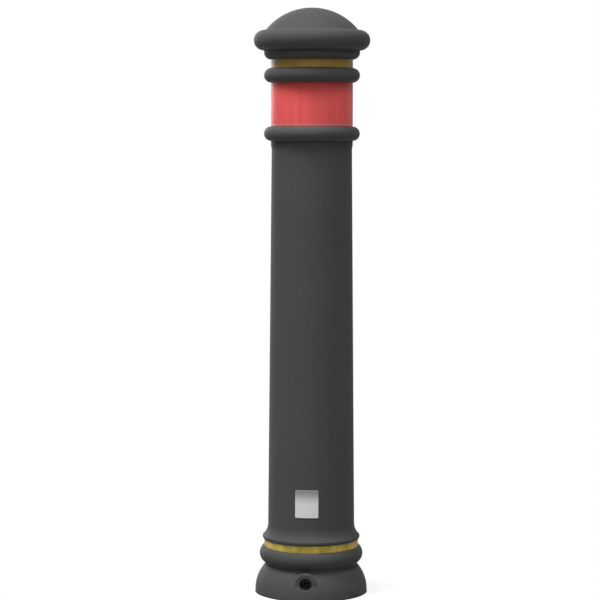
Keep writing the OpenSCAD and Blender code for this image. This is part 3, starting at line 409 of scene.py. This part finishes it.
def hardChrome():
    # hard-chromed piston rod: a mirror with the faintest lines from polishing round it
    material, tree, place = startFinish("hard_chrome")
    look = chromeLook
    around = addNode(tree, "ShaderNodeMapping", {"Vector": place, "Scale": look["stretch"]})
    polish = addNode(tree, "ShaderNodeTexNoise",
                     {"Vector": around.outputs[0], "Scale": perMetre(look["polish"]),
                      "Detail": 2.0})
    rough = addNode(tree, "ShaderNodeMapRange",
                    {"Value": polish.outputs["Fac"], "To Min": look["roughLow"],
                     "To Max": look["roughHigh"]})
    tone = addNode(tree, "ShaderNodeMix",
                   {0: polish.outputs["Fac"], 6: hexColour(look["dark"]),
                    7: hexColour(look["light"])}, data_type="RGBA")
    surface = addNode(tree, "ShaderNodeBsdfPrincipled",
                      {"Base Color": tone.outputs[2], "Roughness": rough.outputs[0],
                       "Metallic": 1.0})
    addNode(tree, "ShaderNodeOutputMaterial", {"Surface": surface.outputs[0]})
    return material


nylonLook = {"dark": "#d3ccb8", "light": "#e4dfcf", "milk": 18, "tool": 1.5, "toolDepth": 0.04,
             "bump": 0.15, "rough": 0.42, "ior": 1.53, "glow": 0.1, "glowReach": (4, 3, 2)}


def machinedNylon():
    # natural cast nylon, turned and milled: milky cream, waxy, with tool lines drawn coarser than
    # the real ones so that they show
    material, tree, place = startFinish("cast_nylon_natural")
    look = nylonLook
    milk = addNode(tree, "ShaderNodeTexNoise",
                   {"Vector": place, "Scale": perMetre(look["milk"]), "Detail": 3.0})
    tone = addNode(tree, "ShaderNodeMix",
                   {0: milk.outputs["Fac"], 6: hexColour(look["dark"]),
                    7: hexColour(look["light"])}, data_type="RGBA")
    tool = addNode(tree, "ShaderNodeTexWave",
                   {"Vector": place, "Scale": perMetre(look["tool"]) * waveShare},
                   bands_direction="Z")
    bump = addNode(tree, "ShaderNodeBump",
                   {"Height": tool.outputs["Fac"], "Strength": look["bump"],
                    "Distance": look["toolDepth"] * mm})
    surface = addNode(tree, "ShaderNodeBsdfPrincipled",
                      {"Base Color": tone.outputs[2], "Roughness": look["rough"],
                       "Normal": bump.outputs[0], "IOR": look["ior"],
                       "Subsurface Weight": look["glow"],
                       "Subsurface Radius": [reach * mm for reach in look["glowReach"]]})
    addNode(tree, "ShaderNodeOutputMaterial", {"Surface": surface.outputs[0]})
    return material


rubberLook = {"dark": "#151515", "light": "#2b2b2a", "bloom": 25, "grit": 1.2, "gritDepth": 0.08,
              "bump": 0.3, "rough": 0.78, "ior": 1.52}


def mouldedRubber():
    # compression-moulded EPDM: dead black, matt, with a dusty grey bloom in patches
    material, tree, place = startFinish("moulded_epdm_black")
    look = rubberLook
    bloom = addNode(tree, "ShaderNodeTexNoise",
                    {"Vector": place, "Scale": perMetre(look["bloom"]), "Detail": 5.0})
    tone = addNode(tree, "ShaderNodeMix",
                   {0: bloom.outputs["Fac"], 6: hexColour(look["dark"]),
                    7: hexColour(look["light"])}, data_type="RGBA")
    grit = addNode(tree, "ShaderNodeTexNoise",
                   {"Vector": place, "Scale": perMetre(look["grit"]), "Detail": 2.0})
    bump = addNode(tree, "ShaderNodeBump",
                   {"Height": grit.outputs["Fac"], "Strength": look["bump"],
                    "Distance": look["gritDepth"] * mm})
    surface = addNode(tree, "ShaderNodeBsdfPrincipled",
                      {"Base Color": tone.outputs[2], "Roughness": look["rough"],
                       "Normal": bump.outputs[0], "IOR": look["ior"]})
    addNode(tree, "ShaderNodeOutputMaterial", {"Surface": surface.outputs[0]})
    return material


finishes = {
    "charcoal_polymer": mouldedPolymer(), "gold_band": goldFilm(),
    "red_reflective": redSheeting(), "galvanised_steel": dippedSteel(),
    "zinc_hardware": platedSteel(), "tool_steel": oiledSteel(), "brass_fitting": turnedBrass(),
    "strut_black": blackEnamel(), "chrome_rod": hardChrome(), "nylon_natural": machinedNylon(),
    "black_rubber": mouldedRubber(),
}
for part in frame["record"]["subparts"]:
    nodes[part["node"]].material_slots[0].material = finishes[part["material_slot"]]
print("finishes:", len(finishes))

mergeGap = 0.0005  # points of a new surface that lie nearer than this are one point


def surfacePiece(name, grid, finish, wrapRows=False, wrapColumns=False):
    # a mesh from an array of points: row i and column j are the two parameters, each cell one quad;
    # points that meet, at a closed end or a pole, are merged
    rows, columns = grid.shape[:2]
    index = np.arange(rows * columns).reshape(rows, columns)
    if wrapRows:
        index = np.vstack([index, index[:1]])
    if wrapColumns:
        index = np.hstack([index, index[:, :1]])
    corners = [index[:-1, :-1], index[1:, :-1], index[1:, 1:], index[:-1, 1:]]
    quads = np.stack(corners, axis=-1).reshape(-1, 4)
    mesh = bpy.data.meshes.new(name)
    mesh.from_pydata(grid.reshape(-1, 3) * mm, [], quads)
    merged = bmesh.new()
    merged.from_mesh(mesh)
    bmesh.ops.remove_doubles(merged, verts=merged.verts, dist=mergeGap * mm)
    merged.to_mesh(mesh)
    merged.free()
    mesh.shade_smooth()
    mesh.materials.append(finish)
    piece = bpy.data.objects.new(name, mesh)
    bpy.context.scene.collection.objects.link(piece)
    return piece


plate = {"width": 40, "height": 47.5, "z": 163, "corner": 2.2, "thick": 0.9, "edge": 0.7,
         "sunk": 0.3, "lineIn": 2.4, "lineHalf": 0.45, "lineDepth": 0.22, "rows": 141,
         "columns": 121, "footZ": 118.5, "footR": 74.2, "topZ": 761.4, "topR": 68.4,
         "low": "#c2c3c4", "high": "#6f7371", "fadeLow": 160, "fadeHigh": 188,
         "brush": 0.9, "stretch": (1, 1, 0.03), "brushDepth": 0.03, "bump": 0.15,
         "roughLow": 0.3, "roughHigh": 0.5, "metallic": 0.25}


def platePaint():
    # anodised aluminium sheet, left plain: satin, near white at the foot and greyer towards the
    # top, with upright brushing lines, drawn coarser than the real ones so that they show
    material, tree, place = startFinish("anodised_aluminium_plate")
    axes = addNode(tree, "ShaderNodeSeparateXYZ", {"Vector": place})
    fade = addNode(tree, "ShaderNodeMapRange",
                   {"Value": axes.outputs[2], "From Min": plate["fadeLow"] * mm,
                    "From Max": plate["fadeHigh"] * mm}, interpolation_type="SMOOTHSTEP")
    tone = addNode(tree, "ShaderNodeMix",
                   {0: fade.outputs[0], 6: hexColour(plate["low"]),
                    7: hexColour(plate["high"])}, data_type="RGBA")
    upright = addNode(tree, "ShaderNodeMapping", {"Vector": place, "Scale": plate["stretch"]})
    brush = addNode(tree, "ShaderNodeTexNoise",
                    {"Vector": upright.outputs[0], "Scale": perMetre(plate["brush"]),
                     "Detail": 2.0})
    rough = addNode(tree, "ShaderNodeMapRange",
                    {"Value": brush.outputs["Fac"], "To Min": plate["roughLow"],
                     "To Max": plate["roughHigh"]})
    bump = addNode(tree, "ShaderNodeBump",
                   {"Height": brush.outputs["Fac"], "Strength": plate["bump"],
                    "Distance": plate["brushDepth"] * mm})
    surface = addNode(tree, "ShaderNodeBsdfPrincipled",
                      {"Base Color": tone.outputs[2], "Roughness": rough.outputs[0],
                       "Metallic": plate["metallic"], "Normal": bump.outputs[0]})
    addNode(tree, "ShaderNodeOutputMaterial", {"Surface": surface.outputs[0]})
    return material


def barePlate():
    # a rectangle with round corners wrapped on the column's cone. Its height over the cone rises
    # from nothing at the outline in a quarter circle, with a shallow line pressed in parallel to
    # the outline; the back lies in the wall. Rows run up the plate, columns across the front and
    # back again behind
    halfW, halfH, corner = plate["width"] / 2, plate["height"] / 2, plate["corner"]
    up = np.sin(np.linspace(-np.pi / 2, np.pi / 2, plate["rows"])) * halfH
    share = np.sin(np.linspace(-np.pi / 2, np.pi / 2, plate["columns"]))
    intoCorner = np.clip(np.abs(up) - (halfH - corner), 0, corner)
    rowHalf = halfW - corner + np.sqrt(corner ** 2 - intoCorner ** 2)
    across = share[None, :] * rowHalf[:, None]
    inside = np.minimum(rowHalf[:, None] - np.abs(across), (halfH - np.abs(up))[:, None])
    roundOff = np.sqrt(1 - (1 - np.clip(inside / plate["edge"], 0, 1)) ** 2)
    fromLine = (inside - plate["lineIn"]) / plate["lineHalf"]
    pressed = plate["lineDepth"] * np.exp(-fromLine ** 2)
    front = (plate["thick"] - pressed) * roundOff
    back = -plate["sunk"] * roundOff
    z = plate["z"] + up
    slope = (plate["topR"] - plate["footR"]) / (plate["topZ"] - plate["footZ"])
    cone = (plate["footR"] + slope * (z - plate["footZ"]))[:, None]
    radius = np.hstack([cone + front, (cone + back)[:, ::-1]])
    angle = np.hstack([across / cone, (across / cone)[:, ::-1]])
    height = np.repeat(z[:, None], radius.shape[1], axis=1)
    grid = np.stack([radius * np.sin(angle), -radius * np.cos(angle), height], axis=-1)
    return surfacePiece("bare_plate", grid[::-1], platePaint(), wrapColumns=True)


platePiece = barePlate()
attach(platePiece, "post")
print("plate:", len(platePiece.data.polygons), "faces")

# each ring weld: radius of the ring, height, radius of the bead, place of its middle along y
welds = {"ripple": 4.2, "rippleDepth": 0.16, "bow": 0.22, "steps": 7, "around": 14,
         "rings": {"flange_weld": (137.6, -47.2, 4.6, 0.0),
                   "foot_weld": (135.4, -1191.6, 4.0, 0.0),
                   "drain_weld": (30.9, -1204.5, 3.4, 82.575)},
         "lugR": 137.2, "lugSide": 5.0, "lugZ": -570.8, "lugH": 46, "lugSize": 3.6, "lugEnd": 12}


def scales(along, phi):
    # overlapping ripples of a weld: each grows steadily and drops at its edge,
    # and the edge bows round the bead
    ripple = np.mod(along / welds["ripple"] + welds["bow"] * np.cos(phi), 1)
    return welds["rippleDepth"] * (ripple - 0.5)


def ringWeld(name, ringR, ringZ, size, middleY):
    # a rippled bead carried round a circle: rows go round the ring, columns round the bead
    count = int(round(2 * np.pi * ringR / welds["ripple"]))
    turn = np.linspace(0, 2 * np.pi, count * welds["steps"], endpoint=False)[:, None]
    phi = np.linspace(0, 2 * np.pi, welds["around"], endpoint=False)[None, :]
    bead = size * (1 + scales(turn / (2 * np.pi) * count * welds["ripple"], phi))
    radius = ringR + bead * np.cos(phi)
    x, y, z = radius * np.cos(turn), middleY + radius * np.sin(turn), ringZ + bead * np.sin(phi)
    grid = np.stack([x, y, z], axis=-1)
    return surfacePiece(name, grid, finishes["galvanised_steel"], wrapRows=True, wrapColumns=True)


def lugWeld(name, angle, side):
    # a rippled bead carried up a straight line beside a lug, closed to a point at both ends
    rows = int(welds["lugH"] / welds["ripple"] * welds["steps"])
    up = np.linspace(-0.5, 0.5, rows)[:, None]
    phi = np.linspace(0, 2 * np.pi, welds["around"], endpoint=False)[None, :]
    ends = np.sqrt(1 - np.clip(np.abs(2 * up), 0, 1) ** welds["lugEnd"])
    bead = welds["lugSize"] * (1 + scales(up * welds["lugH"], phi)) * ends
    out = welds["lugR"] + bead * np.cos(phi)
    aside = side * welds["lugSide"] + bead * np.sin(phi)
    x = out * math.cos(angle) - aside * math.sin(angle)
    y = out * math.sin(angle) + aside * math.cos(angle)
    z = np.repeat(welds["lugZ"] + up * welds["lugH"], welds["around"], axis=1)
    grid = np.stack([x, y, z], axis=-1)
    return surfacePiece(name, grid[::-1], finishes["galvanised_steel"], wrapColumns=True)


beads = [ringWeld(name, *sizes) for name, sizes in welds["rings"].items()]
for turn, where in enumerate(("right", "rear", "left", "front")):
    for side, hand in ((1, "a"), (-1, "b")):
        beads.append(lugWeld(f"lug_weld_{where}_{hand}", turn * math.pi / 2, side))
for bead in beads:
    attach(bead, "ground_casing")
print("welds:", len(beads))

thread = {"pitch": 1.75, "wallR": 5.2, "tipR": 4.72, "rootHalf": 0.7, "tipHalf": 0.12,
          "z": 973.5, "turns": 13, "steps": 40, "runOut": 0.5}


def liftingThread():
    # a trapezium carried along a helix inside the bush, its ends run out to nothing
    t = np.linspace(0, 1, thread["turns"] * thread["steps"])[:, None]
    ends = np.clip(np.minimum(t, 1 - t) * thread["turns"] / thread["runOut"], 0, 1)
    depth = np.array([[0, 1, 1, 0]]) * (thread["wallR"] - thread["tipR"]) * ends
    root, tip = thread["rootHalf"], thread["tipHalf"]
    rise = np.array([[-root, -tip, tip, root]]) * ends
    turn = 2 * np.pi * thread["turns"] * t
    radius = thread["wallR"] - depth
    z = thread["z"] + thread["pitch"] * thread["turns"] * t + rise
    grid = np.stack([radius * np.cos(turn), radius * np.sin(turn), z], axis=-1)
    return surfacePiece("lifting_thread", grid[::-1], finishes["brass_fitting"], wrapColumns=True)


threadPiece = liftingThread()
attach(threadPiece, "post")
print("thread:", len(threadPiece.data.polygons), "faces")

# slabShow and floorShow: share of shadow kept, metres from the axis where it starts and ends
# to fade, colour of the light thrown back
stagePlan = {"holeR": 96.6, "clearR": 107.5, "slabR": 177, "slabTop": 0.25, "slabUnder": -1.5,
             "skin": 0.1, "steps": 180, "floorR": 2600, "floorDrop": 0.6, "floorThick": 20,
             "colour": "#f3f3f1", "slabShow": (0.25, 0.11, 0.17, "#a2a2a2"),
             "floorShow": (0.35, 0.7, 2.4, "#c4c4c4"), "facesUp": 0.5}


def seenRays(tree):
    # the light path node, and a socket that is 1 for a ray from the camera, a mirror or glass
    path = addNode(tree, "ShaderNodeLightPath")
    seen = path.outputs["Is Camera Ray"]
    for ray in ("Is Glossy Ray", "Is Transmission Ray"):
        seen = addNode(tree, "ShaderNodeMath", {0: seen, 1: path.outputs[ray]},
                       operation="MAXIMUM").outputs[0]
    return path, seen


def paleBoard(name, share, fadeFrom, fadeTo, bounce):
    # matt white-painted board: the camera and mirrors see it as white, with a share of its own
    # shading left in near the post, so that what stands on it keeps its shadow. It throws back
    # less light than it shows
    material, tree, place = startFinish(name)
    path, seen = seenRays(tree)
    flat = addNode(tree, "ShaderNodeVectorMath", {0: place, 1: (1, 1, 0)}, operation="MULTIPLY")
    away = addNode(tree, "ShaderNodeVectorMath", {0: flat.outputs[0]}, operation="LENGTH")
    white = addNode(tree, "ShaderNodeMapRange",
                    {"Value": away.outputs["Value"], "From Min": fadeFrom, "From Max": fadeTo,
                     "To Min": 1 - share, "To Max": 1.0}, interpolation_type="SMOOTHSTEP")
    shown = addNode(tree, "ShaderNodeMath", {0: seen, 1: white.outputs[0]}, operation="MULTIPLY")
    tone = addNode(tree, "ShaderNodeMix",
                   {0: path.outputs["Is Diffuse Ray"], 6: hexColour(stagePlan["colour"]),
                    7: hexColour(bounce)}, data_type="RGBA")
    matt = addNode(tree, "ShaderNodeBsdfDiffuse", {"Color": tone.outputs[2]})
    glow = addNode(tree, "ShaderNodeEmission", {"Color": (1, 1, 1, 1), "Strength": 1.0})
    board = addNode(tree, "ShaderNodeMixShader",
                    {0: shown.outputs[0], 1: matt.outputs[0], 2: glow.outputs[0]})
    # its edge and underside are clear, so that it never hides what stands on it
    normal = addNode(tree, "ShaderNodeNewGeometry").outputs["Normal"]
    facing = addNode(tree, "ShaderNodeSeparateXYZ", {"Vector": normal})
    below = addNode(tree, "ShaderNodeMath", {0: facing.outputs[2], 1: stagePlan["facesUp"]},
                    operation="LESS_THAN")
    clear = addNode(tree, "ShaderNodeBsdfTransparent")
    surface = addNode(tree, "ShaderNodeMixShader",
                      {0: below.outputs[0], 1: board.outputs[0], 2: clear.outputs[0]})
    addNode(tree, "ShaderNodeOutputMaterial", {"Surface": surface.outputs[0]})
    return material


def roundStage(name, section, finish):
    # a flat piece of the stage: a section, as radius and height, carried round the post's axis.
    # A section that starts and ends on the axis is closed there already
    turn = np.linspace(0, 2 * np.pi, stagePlan["steps"], endpoint=False)[:, None]
    outline = np.array(section[::-1], float)
    radius, z = outline[None, :, 0], np.repeat(outline[None, :, 1], len(turn), axis=0)
    grid = np.stack([radius * np.cos(turn), radius * np.sin(turn), z], axis=-1)
    piece = surfacePiece(name, grid, finish, wrapRows=True, wrapColumns=section[0][0] > 0)
    piece.data.shade_flat()
    return piece


hole, rim, clear = stagePlan["holeR"], stagePlan["slabR"], stagePlan["clearR"]
top, under = stagePlan["slabTop"], stagePlan["slabUnder"]
skinUnder = top - stagePlan["skin"]
slabSection = [(hole, top), (rim, top), (rim, under), (clear, under), (clear, skinUnder),
               (hole, skinUnder)]
floorR, floorTop = stagePlan["floorR"], cadBox[0][2] / mm - stagePlan["floorDrop"]
floorUnder = floorTop - stagePlan["floorThick"]
floorSection = [(0, floorTop), (floorR, floorTop), (floorR, floorUnder), (0, floorUnder)]
roundStage("paving_slab", slabSection,
                    paleBoard("matt_white_paving", *stagePlan["slabShow"]))
roundStage("studio_floor", floorSection,
                    paleBoard("matt_white_floor", *stagePlan["floorShow"]))
print("stage set")

scene = bpy.context.scene
scene.view_settings.view_transform = "Standard"

sky = {"high": 0.06, "low": 0.22, "lowFrom": -0.2, "highFrom": 0.5}


def studioWorld():
    # white to the camera and to mirrors; as light, a soft grey that is stronger low down
    world = bpy.data.worlds.new("studio")
    world.use_nodes = True
    tree = world.node_tree
    tree.nodes.clear()
    seen = seenRays(tree)[1]
    ray = addNode(tree, "ShaderNodeTexCoord").outputs["Generated"]
    way = addNode(tree, "ShaderNodeSeparateXYZ", {"Vector": ray})
    light = addNode(tree, "ShaderNodeMapRange",
                    {"Value": way.outputs[2], "From Min": sky["lowFrom"],
                     "From Max": sky["highFrom"], "To Min": sky["low"], "To Max": sky["high"]})
    strength = addNode(tree, "ShaderNodeMix", {0: seen, 2: light.outputs[0], 3: 1.0})
    back = addNode(tree, "ShaderNodeBackground",
                   {"Color": (1, 1, 1, 1), "Strength": strength.outputs[0]})
    addNode(tree, "ShaderNodeOutputWorld", {"Surface": back.outputs[0]})
    return world


scene.world = studioWorld()

# azimuth from the front and elevation in degrees, distance and size in metres;
# a level of 1 lights a white that faces the lamp to white
lamps = {
    "key": {"azimuth": -60, "elevation": 60, "distance": 8.0, "size": 3.5, "level": 1.28},
    "fill": {"azimuth": 35, "elevation": 66, "distance": 8.0, "size": 3.5, "level": 0.6},
    "front": {"azimuth": 10, "elevation": 38, "distance": 8.0, "size": 3.5, "level": 0.27},
    "rear": {"azimuth": 214, "elevation": 14, "distance": 8.0, "size": 3.5, "level": 0.5},
}
aim = Vector((0, 0, 0.55))  # the point that every lamp faces, in metres
for name, lamp in lamps.items():
    turn, tilt = math.radians(lamp["azimuth"]), math.radians(lamp["elevation"])
    away = Vector((math.sin(turn) * math.cos(tilt), -math.cos(turn) * math.cos(tilt),
                   math.sin(tilt)))
    light = bpy.data.lights.new(name, "AREA")
    light.shape = "DISK"
    light.size = lamp["size"]
    light.energy = lamp["level"] * math.pi ** 2 * lamp["distance"] ** 2
    softBox = bpy.data.objects.new(name, light)
    softBox.location = aim + away * lamp["distance"]
    softBox.rotation_euler = away.to_track_quat("Z", "Y").to_euler()
    softBox.visible_camera = False
    scene.collection.objects.link(softBox)
print("lamps:", len(lamps))

# distance from the post's axis, height and clip in metres, angles in degrees, sensor in
# millimetres, and the photo's pixels for its focal length, width and the column of the axis
photoView = {"distance": 3.650, "height": 0.7935, "azimuth": 6.0, "pitch": 4.542, "roll": 0.08,
             "axisAt": 311.6, "focal": 2140, "frame": 600, "sensor": 36.0, "clip": (0.05, 100)}


def photoCamera():
    # stands at the photo's azimuth and height, and is turned until the axis falls on its column
    view = photoView
    data = bpy.data.cameras.new("photo_camera")
    data.sensor_width = view["sensor"]
    data.lens = view["focal"] / view["frame"] * view["sensor"]
    data.clip_start, data.clip_end = view["clip"]
    camera = bpy.data.objects.new("photo_camera", data)
    turn = math.radians(view["azimuth"])
    camera.location = (view["distance"] * math.sin(turn), -view["distance"] * math.cos(turn),
                       view["height"])
    aside = math.atan((view["axisAt"] - view["frame"] / 2) / view["focal"])
    level = Euler((math.radians(90 - view["pitch"]), 0, turn + aside)).to_quaternion()
    camera.rotation_mode = "QUATERNION"
    camera.rotation_quaternion = level @ Quaternion((0, 0, 1), math.radians(view["roll"]))
    scene.collection.objects.link(camera)
    return camera


scene.camera = photoCamera()
print("camera set")
